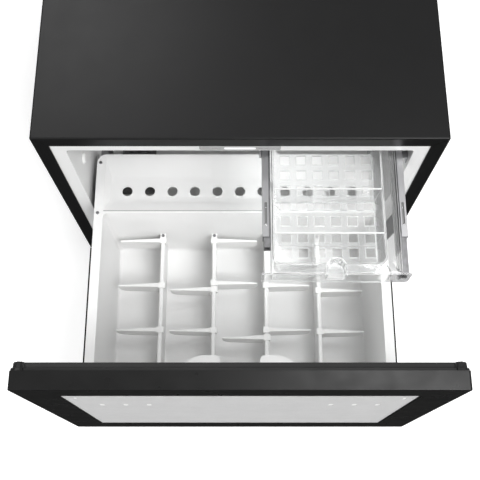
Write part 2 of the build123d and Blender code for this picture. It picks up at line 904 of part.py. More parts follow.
def pull_plan(grow):
    """The finger pull's outline from above, open at the tray's front, grown by a skin."""
    radius = pull_radius + grow
    middle = tray_front + pull_reach
    left = tray_mid_x - radius
    right = tray_mid_x + radius
    back = Pos(tray_mid_x, middle) * Circle(radius) & rect(left, right, middle, middle + radius)
    return rect(left, right, tray_front, middle) + back


def tray_tub():
    """Clear tray: rim, drafted tub, holed floor, side plates and a front plate with a pull."""
    body = flat(rect(tub_left, tub_right, tray_front, tray_rear), tray_top - tray_skin, tray_top)
    for x in (tub_left, tub_right - tray_skin):
        side = rect(x, x + tray_skin, tray_front, tray_rear)
        body += flat(side, tray_top - tray_skirt, tray_top)
    plate = rect(tray_left, tray_right, tray_top - tray_plate, tray_top)
    plate = fillet(plate.vertices().group_by(Axis.Y)[0], tray_plate_round)
    body += upright(plate, tray_front, tray_front + tray_skin)
    body += tub_room(tray_skin)
    body -= tub_room(0)
    body += flat(pull_plan(tray_skin), tray_top - pull_depth - tray_skin, tray_top)
    body -= flat(pull_plan(0), tray_top - pull_depth, tray_top)
    middle = (tray_front + tray_lip + tray_rear - tray_rim_rear) / 2 + tray_hole_shift
    across = tub_mid_x + tray_hole_side_shift
    for x in spread(tray_columns, tray_hole_pitch):
        for y in spread(tray_rows, tray_hole_pitch):
            hole = Pos(across + x, middle + y) * Rectangle(tray_hole, tray_hole)
            body -= flat(hole, tray_floor - tray_skin, tray_floor)
    return body


def tray_dividers():
    """Clear cross walls that stand in the tray."""
    room = tub_room(-tray_divider_gap)
    walls = Part()
    for i in range(tray_divider_count):
        y = tray_front + tray_divider_setback + i * tray_divider_pitch
        slab = flat(
            rect(tub_left, tub_right, y - tray_divider_thick / 2, y + tray_divider_thick / 2),
            tray_floor, tray_top,
        )
        walls += slab & room
    return walls


# Cooling unit

def comb(width, base, depth, thick, count):
    """Plan of a finned sink: a base along X and fins towards +Y."""
    plan = rect(-width / 2, width / 2, 0, base)
    for x in spread(count, (width - thick) / (count - 1)):
        plan += rect(x - thick / 2, x + thick / 2, 0, base + depth)
    return plan


def cold_sink():
    """Finned plate on the liner's rear wall."""
    plan = comb(cold_width, cold_base, cold_fin_depth, cold_fin_thick, cold_fin_count)
    low = sink_mid - cold_height / 2
    return flat(Pos(0, liner_back) * Rot(0, 0, 180) * plan, low, low + cold_height)


def spacer_block():
    """Block that leads the heat through the insulation."""
    return upright(cooling_window(0), liner_back, back_y - module_thick)


def cooling_module():
    """Thin thermoelectric module between the block and the heat sink."""
    return upright(cooling_window(0), back_y - module_thick, back_y)


def heat_sink():
    """Finned sink on the cabinet's rear."""
    plan = comb(hot_size, hot_base, hot_fin_depth, hot_fin_thick, hot_fin_count)
    low = sink_mid - hot_size / 2
    return flat(Pos(0, back_y) * plan, low, low + hot_size)


def fan_frame():
    """Square fan frame with a round duct, spokes and a motor cup."""
    half = fan_size / 2
    middle = sink_mid
    duct = half - fan_wall
    face = Pos(0, middle) * (RectangleRounded(fan_size, fan_size, fan_corner) - Circle(duct))
    for x in spread(2, fan_hole_pitch):
        for z in spread(2, fan_hole_pitch):
            face -= Pos(x, middle + z) * Circle(fan_hole_radius)
    body = upright(face, hot_back, fan_back)
    spokes = Circle(fan_hub_radius)
    for turn in (0, 90):
        spokes += Rot(0, 0, 45 + turn) * Rectangle(2 * duct + fan_wall, fan_spoke)
    spokes -= Circle(fan_shaft_radius + fan_shaft_fit)
    return body + upright(Pos(0, middle) * spokes, fan_back - fan_cup, fan_back)


def blade_plane(radius, pitch):
    """The plane of a blade's section, at a radius on the X axis and turned by its pitch."""
    chord = Vector(0, 1, 0).rotate(Axis.X, pitch)
    return Plane(origin=(radius, 0, 0), x_dir=chord, z_dir=(1, 0, 0))


def fan_rotor():
    """Fan hub, shaft and twisted blades; the blades are lofted from hub to tip."""
    depth = fan_depth - fan_cup - fan_hub_gap - fan_front_gap
    duct = fan_size / 2 - fan_wall
    hub = Cylinder(fan_hub_radius, depth)
    hub = chamfer(hub.edges().group_by(Axis.Z)[0], fan_hub_edge)
    shaft_length = fan_hub_gap + fan_cup
    rotor = hub + Pos(0, 0, (depth + shaft_length) / 2) * Cylinder(fan_shaft_radius, shaft_length)
    root = blade_plane(fan_hub_radius - fan_root_sunk, fan_pitch_root)
    root *= Rectangle(fan_root_chord, fan_blade_thick)
    tip = blade_plane(duct - fan_tip_gap, fan_pitch_tip) * Rectangle(fan_tip_chord, fan_blade_thick)
    blade = loft([root, tip], ruled=True) & Cylinder(duct - fan_tip_gap, fan_depth)
    for i in range(fan_blades):
        rotor += Rot(0, 0, 360 * i / fan_blades) * blade
    front = fan_back - fan_cup - fan_hub_gap - depth / 2
    return Pos(0, front, sink_mid) * Rot(-90, 0, 0) * rotor


def rear_cover():
    """Sheet cover over the heat sink and fan, with louvres and a screwed flange."""
    middle = sink_mid
    face = Pos(0, middle) * RectangleRounded(cover_width, cover_height, cover_round)
    body = upright(face, back_y, cover_back)
    body = chamfer(body.faces().sort_by(Axis.Y)[-1].edges(), cover_edge)
    body += upright(offset(face, cover_flange), back_y, back_y + sheet)
    inner = upright(offset(face, -sheet), back_y, cover_back - sheet)
    body -= chamfer(inner.faces().sort_by(Axis.Y)[-1].edges(), cover_edge - sheet / 2)
    for z in spread(louvre_count, louvre_gap):
        louvre = Pos((louvre_width + louvre_gap) / 2, middle + z) * Rectangle(louvre_width, louvre_height)
        body -= both_sides(upright(louvre, cover_back - sheet, cover_back))
    for z in spread(side_slot_count, 2 * louvre_gap):
        middle_y = (back_y + cover_back) / 2
        slot = Pos(middle_y, middle + z) * Rectangle(side_slot_length, louvre_height)
        body -= sideways(slot, -cover_width / 2, cover_width / 2)
    return body


def inlet_place():
    """The middle of the power inlet, on the control box's rear face."""
    return Pos(-box_left + box_width / 2, box_base + box_height / 2)


def control_box():
    """Moulded box of the controller, with a window for the inlet."""
    face = rect(-box_left, box_width - box_left, box_base, box_base + box_height, box_round)
    body = upright(face, back_y, back_y + box_depth)
    body = chamfer(body.faces().sort_by(Axis.Y)[-1].edges(), box_edge)
    inner = offset(face, -inlet_wall)
    body -= upright(inner, back_y, back_y + box_depth - inlet_wall)
    window = Rectangle(inlet_width - 2 * inlet_rim, inlet_height - 2 * inlet_rim)
    return body - upright(inlet_place() * window, back_y, back_y + box_depth)


def power_inlet():
    """Socket with three flat pins, set in the control box."""
    face = back_y + box_depth
    outer = Rectangle(inlet_width - 2 * inlet_rim, inlet_height - 2 * inlet_rim)
    rim = RectangleRounded(inlet_width, inlet_height, inlet_round)
    body = upright(inlet_place() * outer, face - inlet_depth, face)
    body += upright(inlet_place() * rim, face, face + inlet_wall)
    mouth = offset(outer, -inlet_wall)
    corners = mouth.vertices().group_by(Axis.Y)[-1]
    mouth = chamfer(corners, inlet_corner)
    body -= upright(inlet_place() * mouth, face - inlet_depth + inlet_wall, face + inlet_wall)
    for x, z in ((-pin_pitch, -pin_lift), (0, pin_lift), (pin_pitch, -pin_lift)):
        pin = inlet_place() * Pos(x, z) * Rectangle(pin_thick, pin_size)
        start = face - inlet_depth + inlet_wall
        body += upright(pin, start - inlet_wall, start + pin_length)
    return body


def rear_screws():
    """Screws of the rear cover's flange and of the back panel's corners."""
    head = Rot(-90, 0, 0) * screw(big_screw_radius, big_screw_head)
    edge = cover_flange / 2
    places = []
    for x in spread(2, cover_width + cover_flange):
        for z in spread(3, cover_height / 2 - edge):
            places.append(Pos(x, back_y + sheet, sink_mid + z))
    side = half_width - sheet - screw_edge
    for x in (-side, 0, side):
        for z in (sheet + screw_edge, casing_height - sheet - screw_edge):
            places.append(Pos(x, back_y, z))
    return Compound([place * head for place in places])


pieces = {
    "casing_wrap": casing_wrap(),
    "base_pan": base_pan(),
    "back_panel": back_panel(),
    "inner_liner": inner_liner(),
    "foam_core": foam_core(),
    "wall_plugs": wall_plugs(),
    "lamp_housing": lamp_housing(),
    "lamp_lens": lamp_lens(),
    "air_grille": air_grille(),
    "tray_hanger": tray_hanger(),
    "tray_wall_bracket": tray_wall_bracket(),
    "cold_sink": cold_sink(),
    "spacer_block": spacer_block(),
    "cooling_module": cooling_module(),
    "heat_sink": heat_sink(),
    "fan_frame": fan_frame(),
    "fan_rotor": fan_rotor(),
    "rear_cover": rear_cover(),
    "control_box": control_box(),
    "power_inlet": power_inlet(),
    "rear_screws": rear_screws(),
    "door_frame": door_frame(),
    "door_panel": door_panel(),
    "panel_clips": panel_clips(),
    "door_inner_panel": door_inner_panel(),
    "door_foam": door_foam(),
    "gasket": gasket(),
    "drawer_insert": drawer_insert(),
    "rim_screws": rim_screws(),
    "divider_screws": divider_screws(),
    "tray_tub": tray_tub(),
    "tray_dividers": tray_dividers(),
}

rail_starts = {"fixed": 0.0, "middle": drawer_open / 2, "moving": drawer_open}
for side, hand in ((-1, "left"), (1, "right")):
    pieces[f"{hand}_side_frame"] = side_frame(side)
    for member, name in (("fixed", "cabinet"), ("middle", "mid"), ("moving", "drawer")):
        start = rail_start - rail_starts[member]
        pieces[f"{hand}_{name}_rail"] = drawer_rail(member, start, side)

pieces["tray_cabinet_rails"] = Compound([tray_rail("fixed", tray_rail_start, side) for side in (-1, 1)])
tray_mid_start = tray_rail_start - tray_mid_open
pieces["tray_mid_rails"] = Compound([tray_rail("middle", tray_mid_start, side) for side in (-1, 1)])
pieces["tray_rails"] = Compound(
    [
        tray_rail("moving", tray_front + tray_rail_setback_left, -1, tray_rear),
        tray_rail("moving", tray_front + tray_rail_setback_right, 1, tray_rear),
    ]
)

for number in range(1, divider_count + 1):
    pieces[f"divider_{number}"] = divider(number)
for count, (number, side, setback) in enumerate(fin_places, start=1):
    pieces[f"fin_{count:02d}"] = fin(number, side, setback)

os.makedirs("parts", exist_ok=True)
for name, piece in pieces.items():
    export_step(piece, f"parts/{name}.step")
print(len(pieces), "nodes written")
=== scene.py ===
"""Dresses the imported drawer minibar: finishes, eased edges, seal, fasteners and slide details."""
import json
import logging
import math
from dataclasses import dataclass, field
from enum import Enum
from functools import cache
from typing import Protocol

import bmesh
import bpy
from mathutils import Matrix, Vector

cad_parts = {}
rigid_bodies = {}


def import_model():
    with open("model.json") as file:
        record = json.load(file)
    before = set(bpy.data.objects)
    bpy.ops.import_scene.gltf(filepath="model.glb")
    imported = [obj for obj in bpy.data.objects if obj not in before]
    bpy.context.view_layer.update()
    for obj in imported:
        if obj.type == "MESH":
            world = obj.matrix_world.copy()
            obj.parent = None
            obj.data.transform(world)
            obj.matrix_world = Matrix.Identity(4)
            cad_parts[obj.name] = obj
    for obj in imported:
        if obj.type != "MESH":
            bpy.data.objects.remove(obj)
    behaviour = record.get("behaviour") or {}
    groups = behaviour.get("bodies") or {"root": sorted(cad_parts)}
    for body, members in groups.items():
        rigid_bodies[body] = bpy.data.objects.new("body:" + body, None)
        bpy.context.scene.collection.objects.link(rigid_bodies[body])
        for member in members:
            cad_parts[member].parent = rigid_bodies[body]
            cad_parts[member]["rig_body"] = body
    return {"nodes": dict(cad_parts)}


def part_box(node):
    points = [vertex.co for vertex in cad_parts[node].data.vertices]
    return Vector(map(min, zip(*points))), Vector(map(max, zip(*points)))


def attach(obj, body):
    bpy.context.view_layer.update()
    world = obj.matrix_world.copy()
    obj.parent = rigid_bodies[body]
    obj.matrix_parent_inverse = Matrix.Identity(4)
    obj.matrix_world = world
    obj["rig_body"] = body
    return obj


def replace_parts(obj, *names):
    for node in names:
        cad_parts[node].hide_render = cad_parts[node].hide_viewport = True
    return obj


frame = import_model()

log = logging.getLogger("minibar")

MM = 0.001
WELD = 0.002 * MM  # CAD corners nearer than this become one
SNAP = 0.005 * MM  # corners nearer than this to a plane lie on it
FLAT_ANGLE = math.radians(0.4)  # CAD facets that meet flatter than this become one face
SHARP_ANGLE = math.radians(32.0)  # edges sharper than this aren't shaded smooth
EASE_ANGLE = math.radians(35.0)  # edges sharper than this are eased
EASE_STEPS = 2
EASE_NAME = "eased_edges"

SMOOTH, SOFT, ROUGH, FINE = 1.0, 2.0, 3.0, 4.0  # how many finer layers a noise has
NOISE_LOW, NOISE_HIGH = 0.3, 0.7  # most of a noise lies between these
BRUSH_STRETCH = (1.0, 0.03, 1.0)  # rolled metal is drawn out along Y
GLOSS_PATCHES = 3.0  # patches of gloss across a patch of tint

Colour = tuple[float, float, float]
Place = tuple[float, float, float]
Geometry = list[bmesh.types.BMVert | bmesh.types.BMEdge | bmesh.types.BMFace]


class Relief(Enum):
    """What breaks up the surface of a finish."""

    ORANGE_PEEL = "sprayed coat"
    MOULD_GRAIN = "eroded mould"
    BRUSHED = "rolled metal"
    WAVY = "polished mould"
    CELLS = "foam cells"


class Facing(Enum):
    """The way a screw head or the seal faces."""

    UP = Matrix.Identity(4)
    BACK = Matrix.Rotation(math.radians(-90.0), 4, "X")


class ShaderGraph:
    """Fills a material's node tree, one node at a time."""

    def __init__(self, name: str) -> None:
        """Start an empty material.

        Args:
            name: the material's name.
        """
        self.material = bpy.data.materials.new(name)
        self.material.use_nodes = True
        self.nodes = self.material.node_tree.nodes
        self.nodes.clear()
        self.place = self.add("TexCoord").outputs["Object"]

    def add(
        self, kind: str, inputs: dict[str | int, object] | None = None, **settings: object
    ) -> bpy.types.Node:
        """Add one node.

        Args:
            kind: the node's type, without Blender's prefix.
            inputs: for each socket, by name or number, its value or the socket that feeds it.
            settings: the node's own properties.

        Returns:
            The new node.
        """
        node = self.nodes.new("ShaderNode" + kind)
        for key, value in settings.items():
            setattr(node, key, value)
        for key, value in (inputs or {}).items():
            if isinstance(value, bpy.types.NodeSocket):
                self.material.node_tree.links.new(value, node.inputs[key])
            else:
                node.inputs[key].default_value = value
        return node

    def noise(
        self, size: float, detail: float, stretch: Place = (1.0, 1.0, 1.0)
    ) -> bpy.types.NodeSocket:
        """Noise fixed to the piece.

        Args:
            size: width of its patches, in metres.
            detail: how many finer layers it has.
            stretch: how much finer it is along each axis.

        Returns:
            The socket with values from 0 to 1.
        """
        place = self.add("Mapping", {"Vector": self.place, "Scale": stretch}).outputs["Vector"]
        sockets = {"Vector": place, "Scale": 1.0 / size, "Detail": detail}
        return self.add("TexNoise", sockets).outputs["Fac"]

    def ramp(
        self, value: bpy.types.NodeSocket, start: float, end: float, low: float, high: float
    ) -> bpy.types.NodeSocket:
        """A value that runs from one level to another.

        Args:
            value: what it follows.
            start: where it leaves the first level.
            end: where it reaches the second level.
            low: the first level.
            high: the second level.

        Returns:
            The socket with the level.
        """
        limits = {"From Min": start, "From Max": end, "To Min": low, "To Max": high}
        return self.add("MapRange", {"Value": value, **limits}).outputs["Result"]

    def spread(self, value: bpy.types.NodeSocket, low: float, high: float) -> bpy.types.NodeSocket:
        """Noise spread between two values.

        Args:
            value: the noise.
            low: value where the noise is low.
            high: value where it is high.

        Returns:
            The spread value.
        """
        return self.ramp(value, NOISE_LOW, NOISE_HIGH, low, high)

    def blend(self, value: bpy.types.NodeSocket, low: Colour, high: Colour) -> bpy.types.NodeSocket:
        """Noise as a blend of two colours.

        Args:
            value: the noise.
            low: colour where the noise is low.
            high: colour where it is high.

        Returns:
            The colour.
        """
        node = self.add("ValToRGB", {"Fac": value})
        stops = zip(node.color_ramp.elements, (NOISE_LOW, NOISE_HIGH), (low, high))
        for stop, place, colour in stops:
            stop.position = place
            stop.color = (*colour, 1.0)
        return node.outputs["Color"]

    def finish(self, shader: bpy.types.NodeSocket) -> bpy.types.Material:
        """Feed the material's output.

        Args:
            shader: the surface shader.

        Returns:
            The finished material.
        """
        self.add("OutputMaterial", {"Surface": shader})
        return self.material


@dataclass(frozen=True)
class Finish:
    """An opaque finish: its colour, gloss and relief, with their drift over the piece.

    The sizes of its patches and grain and the depth of its relief are in metres.
    """

    name: str
    slot: str
    colour: Colour
    roughness: float
    relief: Relief
    metallic: float = 0.0
    specular: float = 0.5
    tint: float = 0.06
    gloss_drift: float = 0.05
    patch: float = 0.09
    grain: float = 0.0012
    depth: float = 0.00003
    glow: float = 0.0

    def height(self, graph: ShaderGraph) -> bpy.types.NodeSocket:
        """The relief's height.

        Args:
            graph: the material's nodes.

        Returns:
            The socket with the height, from 0 to 1.
        """
        if self.relief is Relief.BRUSHED:
            return graph.noise(self.grain, ROUGH, BRUSH_STRETCH)
        if self.relief is Relief.CELLS:
            cells = graph.add("TexVoronoi", {"Vector": graph.place, "Scale": 1.0 / self.grain})
            return cells.outputs["Distance"]
        return graph.noise(self.grain, FINE if self.relief is Relief.MOULD_GRAIN else SMOOTH)

    @cache
    def material(self) -> bpy.types.Material:
        """The finish as a material, made once.

        Returns:
            The material.
        """
        graph = ShaderGraph(self.name)
        low = tuple(c * (1.0 - self.tint) for c in self.colour)
        high = tuple(min(1.0, c * (1.0 + self.tint)) for c in self.colour)
        height = self.height(graph)
        patches = graph.noise(self.patch, ROUGH)
        total = graph.add("Math", {0: patches, 1: height}, operation="ADD").outputs[0]
        mean = graph.add("Math", {0: total, 1: 0.5}, operation="MULTIPLY").outputs[0]
        gloss = graph.noise(self.patch / GLOSS_PATCHES, FINE)
        shiny, dull = self.roughness - self.gloss_drift, self.roughness + self.gloss_drift
        bump = graph.add("Bump", {"Height": height, "Distance": self.depth, "Strength": 1.0})
        sockets = {
            "Base Color": graph.blend(mean, low, high),
            "Roughness": graph.spread(gloss, shiny, dull),
            "Normal": bump.outputs["Normal"],
            "Metallic": self.metallic,
            "Specular IOR Level": self.specular,
            "Emission Color": (*self.colour, 1.0),
            "Emission Strength": self.glow,
        }
        return graph.finish(graph.add("BsdfPrincipled", sockets).outputs["BSDF"])


@dataclass(frozen=True)
class ClearFinish:
    """A clear moulded plastic that lets light through to what lies under it.

    It is frosted below frost_top, hazy above it, hazier above highlight_start as a painted
    highlight, and darker past shade_start as painted shade. These places and the other lengths are
    in metres.
    """

    name: str
    slot: str
    colour: Colour
    roughness: float
    refraction: float = 1.49
    wave: float = 0.018
    depth: float = 0.00004
    haze: float = 0.015
    frost: float = 0.07
    frost_top: float = 0.0
    # hazier share above highlight_start: a painted highlight
    painted_edge_highlight: float = 0.0
    highlight_start: float = 0.0
    # colour scale past shade_start: painted shade over the tray's right flange
    shade: float = 1.0
    shade_start: float = 0.0
    fade: float = 1.0 * MM

    def place(self, graph: ShaderGraph, axis: str) -> bpy.types.NodeSocket:
        """The place on the piece along one axis.

        Args:
            graph: the material's nodes.
            axis: the axis's letter.

        Returns:
            The socket with the place, in metres.
        """
        return graph.add("SeparateXYZ", {"Vector": graph.place}).outputs[axis]

    def clearness(self, graph: ShaderGraph) -> bpy.types.NodeSocket:
        """How clear the plastic is at each height, with a painted highlight above highlight_start.

        Args:
            graph: the material's nodes.

        Returns:
            The socket with the clear share.
        """
        height = self.place(graph, "Z")
        frost_end, highlight_end = self.frost_top + self.fade, self.highlight_start + self.fade
        body = graph.ramp(height, self.frost_top, frost_end, 1.0 - self.frost, 1.0 - self.haze)
        # hazier above highlight_start: a painted highlight along the top edges
        edge = graph.ramp(height, self.highlight_start, highlight_end, 1.0, 1.0 - self.painted_edge_highlight)
        return graph.add("Math", {0: body, 1: edge}, operation="MINIMUM").outputs[0]

    def tone(self, graph: ShaderGraph) -> bpy.types.NodeSocket:
        """The plastic's colour at each place across it, darker past shade_start: painted shade.

        Args:
            graph: the material's nodes.

        Returns:
            The socket with the colour.
        """
        across = self.place(graph, "X")
        # past shade_start the colour falls to shade: painted shade
        share = graph.ramp(across, self.shade_start, self.shade_start + self.fade, 1.0, self.shade)
        scaled = graph.add("VectorMath", {0: self.colour, "Scale": share}, operation="SCALE")
        return scaled.outputs["Vector"]

    @cache
    def material(self) -> bpy.types.Material:
        """The finish as a material, made once.

        Returns:
            The material.
        """
        graph = ShaderGraph(self.name)
        waves = graph.noise(self.wave, SMOOTH)
        bump = graph.add("Bump", {"Height": waves, "Distance": self.depth, "Strength": 1.0})
        gloss = graph.noise(self.wave, ROUGH)
        sockets = {
            "Base Color": self.tone(graph),
            "Roughness": graph.spread(gloss, self.roughness / 2.0, self.roughness),
            "Normal": bump.outputs["Normal"],
            "IOR": self.refraction,
            "Transmission Weight": self.clearness(graph),
        }
        plastic = graph.add("BsdfPrincipled", sockets).outputs["BSDF"]
        passing = graph.add("BsdfTransparent", {"Color": (*self.colour, 1.0)}).outputs["BSDF"]
        shadow = graph.add("LightPath").outputs["Is Shadow Ray"]
        mixed = graph.add("MixShader", {0: shadow, 1: plastic, 2: passing})
        return graph.finish(mixed.outputs["Shader"])


POWDER_COAT = Finish(
    "sprayed_black_steel", "black_powder_coat", (0.009, 0.009, 0.0092), 0.38, Relief.ORANGE_PEEL,
    specular=0.2, tint=0.05, gloss_drift=0.015, grain=0.0016, depth=0.00002,
)
BLACK_PLASTIC = Finish(
    "moulded_black_plastic", "black_plastic", (0.0085, 0.0085, 0.0085), 0.31, Relief.MOULD_GRAIN,
    specular=0.25, tint=0.15, grain=0.0009, depth=0.00002,
)
WHITE_PLASTIC = Finish(
    "moulded_white_plastic", "white_plastic", (0.86, 0.86, 0.856), 0.36, Relief.WAVY,
    tint=0.01, gloss_drift=0.02, grain=0.03, depth=0.00003,
)
FIN_PLASTIC = Finish(
    "moulded_fin_plastic", "separator_plastic", (0.89, 0.89, 0.882), 0.38, Relief.MOULD_GRAIN,
    tint=0.02, grain=0.001, depth=0.000012,
)
DOOR_PANEL = Finish(
    "door_panel_coat", "door_panel", (0.58, 0.58, 0.58), 0.5, Relief.ORANGE_PEEL,
    tint=0.045, patch=0.05, grain=0.0022, depth=0.00006,
)
CLIP_PLASTIC = Finish(
    "clip_plastic", "slot_clip", (0.9, 0.9, 0.89), 0.4, Relief.MOULD_GRAIN,
    tint=0.02, grain=0.0008, depth=0.00001,
)
DUCT_PLASTIC = Finish(
    "moulded_duct_plastic", "black_plastic", (0.2, 0.2, 0.2), 0.45, Relief.MOULD_GRAIN,
    specular=0.3, tint=0.1, grain=0.0009, depth=0.00002,
)
RUBBER = Finish(
    "seal_rubber", "rubber", (0.012, 0.012, 0.012), 0.5, Relief.MOULD_GRAIN,
    specular=0.35, tint=0.25, grain=0.0007, depth=0.00002,
)
# grey strip in the seam behind the well: painted shade along the seam line
SEAM_SHADE_GREY = Finish(
    "seam_grey_painted_shade", "rubber", (0.36, 0.36, 0.355), 0.6, Relief.MOULD_GRAIN,
    specular=0.3, tint=0.05, grain=0.0007, depth=0.00001,
)
FOAM = Finish(
    "blown_foam", "insulating_foam", (0.80, 0.74, 0.55), 0.9, Relief.CELLS,
    specular=0.2, tint=0.08, grain=0.0016, depth=0.0004,
)
LAMP_PLASTIC = Finish(
    "moulded_lamp_plastic", "lamp_plastic", (0.42, 0.42, 0.42), 0.4, Relief.MOULD_GRAIN,
    tint=0.03, grain=0.0008, depth=0.00001,
)
LAMP_LENS = Finish(
    "milky_lens", "lamp_lens", (0.88, 0.89, 0.9), 0.25, Relief.WAVY,
    tint=0.02, grain=0.004, depth=0.00004, glow=0.25,
)
ZINC = Finish(
    "zinc_plated_steel", "zinc_steel", (0.42, 0.42, 0.43), 0.36, Relief.BRUSHED,
    metallic=1.0, tint=0.07, gloss_drift=0.03, patch=0.03, grain=0.0006, depth=0.000012,
)
# darker copy of the zinc for the tray's own rails: its dark colour is painted shade, its fine
# mottling the rails' own
SHADED_ZINC = Finish(
    "zinc_steel_painted_shade", "zinc_steel", (0.2, 0.2, 0.205), 0.42, Relief.BRUSHED,
    metallic=1.0, tint=0.35, gloss_drift=0.06, patch=0.006, grain=0.0006, depth=0.000012,
)
BALL_STEEL = Finish(
    "ball_steel", "zinc_steel", (0.78, 0.78, 0.79), 0.12, Relief.WAVY,
    metallic=1.0, tint=0.04, gloss_drift=0.04, grain=0.002, depth=0.000005,
)
ALUMINIUM = Finish(
    "extruded_aluminium", "aluminium", (0.72, 0.73, 0.74), 0.4, Relief.BRUSHED,
    metallic=1.0, tint=0.06, gloss_drift=0.08, patch=0.03, grain=0.0005, depth=0.00003,
)
CERAMIC = Finish(
    "fired_ceramic", "ceramic_module", (0.86, 0.85, 0.82), 0.45, Relief.MOULD_GRAIN,
    tint=0.03, grain=0.0006, depth=0.00001,
)
SCREW_STEEL = Finish(
    "screw_head_steel", "screw_steel", (0.30, 0.30, 0.31), 0.34, Relief.WAVY,
    metallic=1.0, tint=0.12, gloss_drift=0.1, patch=0.003, grain=0.001, depth=0.00001,
)

TRAY_FLOOR = 2.6 * MM  # the tray is frosted this far up from its underside
TRAY_FLANGE = 32.0 * MM  # and painted shade darkens it this far in from its right edge
WALL_HIGHLIGHT_DEPTH = 1.6 * MM  # its cross walls are hazier this far down from their tops, a painted highlight
CLEAR_PLASTIC = ClearFinish(
    "clear_moulded_plastic", "clear_plastic", (0.935, 0.94, 0.94), 0.05,
    haze=0.09, frost_top=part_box("tray_tub")[0].z + TRAY_FLOOR,
    # the darker band over the tray's right flange is painted shade
    shade=0.57, shade_start=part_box("tray_tub")[1].x - TRAY_FLANGE,
)
# hazy white finish for the tray's eased edges: a painted highlight
CLEAR_EDGE_HIGHLIGHT = ClearFinish("clear_edge_painted_highlight", "clear_plastic", (0.955, 0.96, 0.96), 0.2, haze=0.5)
CLEAR_WALL = ClearFinish(
    "clear_wall_plastic", "clear_plastic", (0.935, 0.94, 0.94), 0.05,
    # hazier tops of the cross walls: a painted highlight
    painted_edge_highlight=0.75, highlight_start=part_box("tray_dividers")[1].z - WALL_HIGHLIGHT_DEPTH,
)

AnyFinish = Finish | ClearFinish
Kept = dict[str, Finish]
Eased = dict[str, tuple[AnyFinish, float]]


def place_piece(
    name: str, shape: bmesh.types.BMesh, finish: AnyFinish, body: str
) -> bpy.types.Object:
    """Turn a shape into a finished piece on a body.

    Args:
        name: the piece's name.
        shape: its shape, in place; it is used up.
        finish: its finish.
        body: the CAD body it rides on.

    Returns:
        The piece.
    """
    mesh = bpy.data.meshes.new(name)
    shape.to_mesh(mesh)
    shape.free()
    mesh.shade_smooth()
    mesh.set_sharp_from_angle(angle=SHARP_ANGLE)
    mesh.materials.append(finish.material())
    piece = bpy.data.objects.new(name, mesh)
    bpy.context.scene.collection.objects.link(piece)
    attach(piece, body)
    return piece


def body_of(node: str) -> str:
    """The body that a CAD node rides on.

    Args:
        node: the node's name.

    Returns:
        The body's name.
    """
    return frame["nodes"][node]["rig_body"]


def open_edges(shape: bmesh.types.BMesh) -> list[bmesh.types.BMEdge]:
    """The edges where a shape isn't closed yet.

    Args:
        shape: the shape.

    Returns:
        Its open edges.
    """
    return [edge for edge in shape.edges if edge.is_boundary]


def corners_in(made: Geometry) -> list[bmesh.types.BMVert]:
    """The corners among the geometry that an operation made.

    Args:
        made: the new corners, edges and faces.

    Returns:
        The new corners.
    """
    return [item for item in made if isinstance(item, bmesh.types.BMVert)]


def block(width: float, length: float, height: float) -> bmesh.types.BMesh:
    """A block about the origin.

    Args:
        width: its size along X.
        length: its size along Y.
        height: its size along Z.

    Returns:
        The block.
    """
    shape = bmesh.new()
    bmesh.ops.create_cube(shape, size=1.0)
    size = Matrix.Diagonal((width, length, height, 1.0))
    bmesh.ops.transform(shape, matrix=size, verts=shape.verts[:])
    return shape


def merged_copy(node: str) -> bmesh.types.BMesh:
    """A CAD node's mesh with its triangles joined into whole faces.

    Args:
        node: the node's name.

    Returns:
        The joined shape.
    """
    shape = bmesh.new()
    shape.from_mesh(frame["nodes"][node].data)
    bmesh.ops.remove_doubles(shape, verts=shape.verts[:], dist=WELD)
    bmesh.ops.dissolve_limit(
        shape, angle_limit=FLAT_ANGLE, verts=shape.verts[:], edges=shape.edges[:],
        use_dissolve_boundaries=False,
    )
    return shape


def join_shape(whole: bmesh.types.BMesh, part: bmesh.types.BMesh, place: Matrix) -> None:
    """Add one shape to another.

    Args:
        whole: the shape that grows.
        part: the shape that is added; it is used up.
        place: where it goes.
    """
    bmesh.ops.transform(part, matrix=place, verts=part.verts[:])
    mesh = bpy.data.meshes.new("joined")
    part.to_mesh(mesh)
    part.free()
    whole.from_mesh(mesh)
    bpy.data.meshes.remove(mesh)


def separate_boxes(node: str) -> list[tuple[Vector, Vector]]:
    """The lowest and highest corners of each loose solid of a CAD node.

    Args:
        node: the node's name.

    Returns:
        One pair of corners for each solid.
    """
    shape = merged_copy(node)
    left = set(shape.verts)
    boxes = []
    while left:
        reached = [left.pop()]
        for vert in reached:
            near = {edge.other_vert(vert) for edge in vert.link_edges} & left
            left -= near
            reached.extend(near)
        low = Vector(min(v.co[i] for v in reached) for i in range(3))
        high = Vector(max(v.co[i] for v in reached) for i in range(3))
        boxes.append((low, high))
    shape.free()
    return sorted(boxes, key=lambda box: tuple(round(c, 5) for c in box[0]))


class Group(Protocol):
    """Whatever main() can build."""

    def build(self) -> list[bpy.types.Object]:
        """Build the group.

        Returns:
            Its pieces.
        """


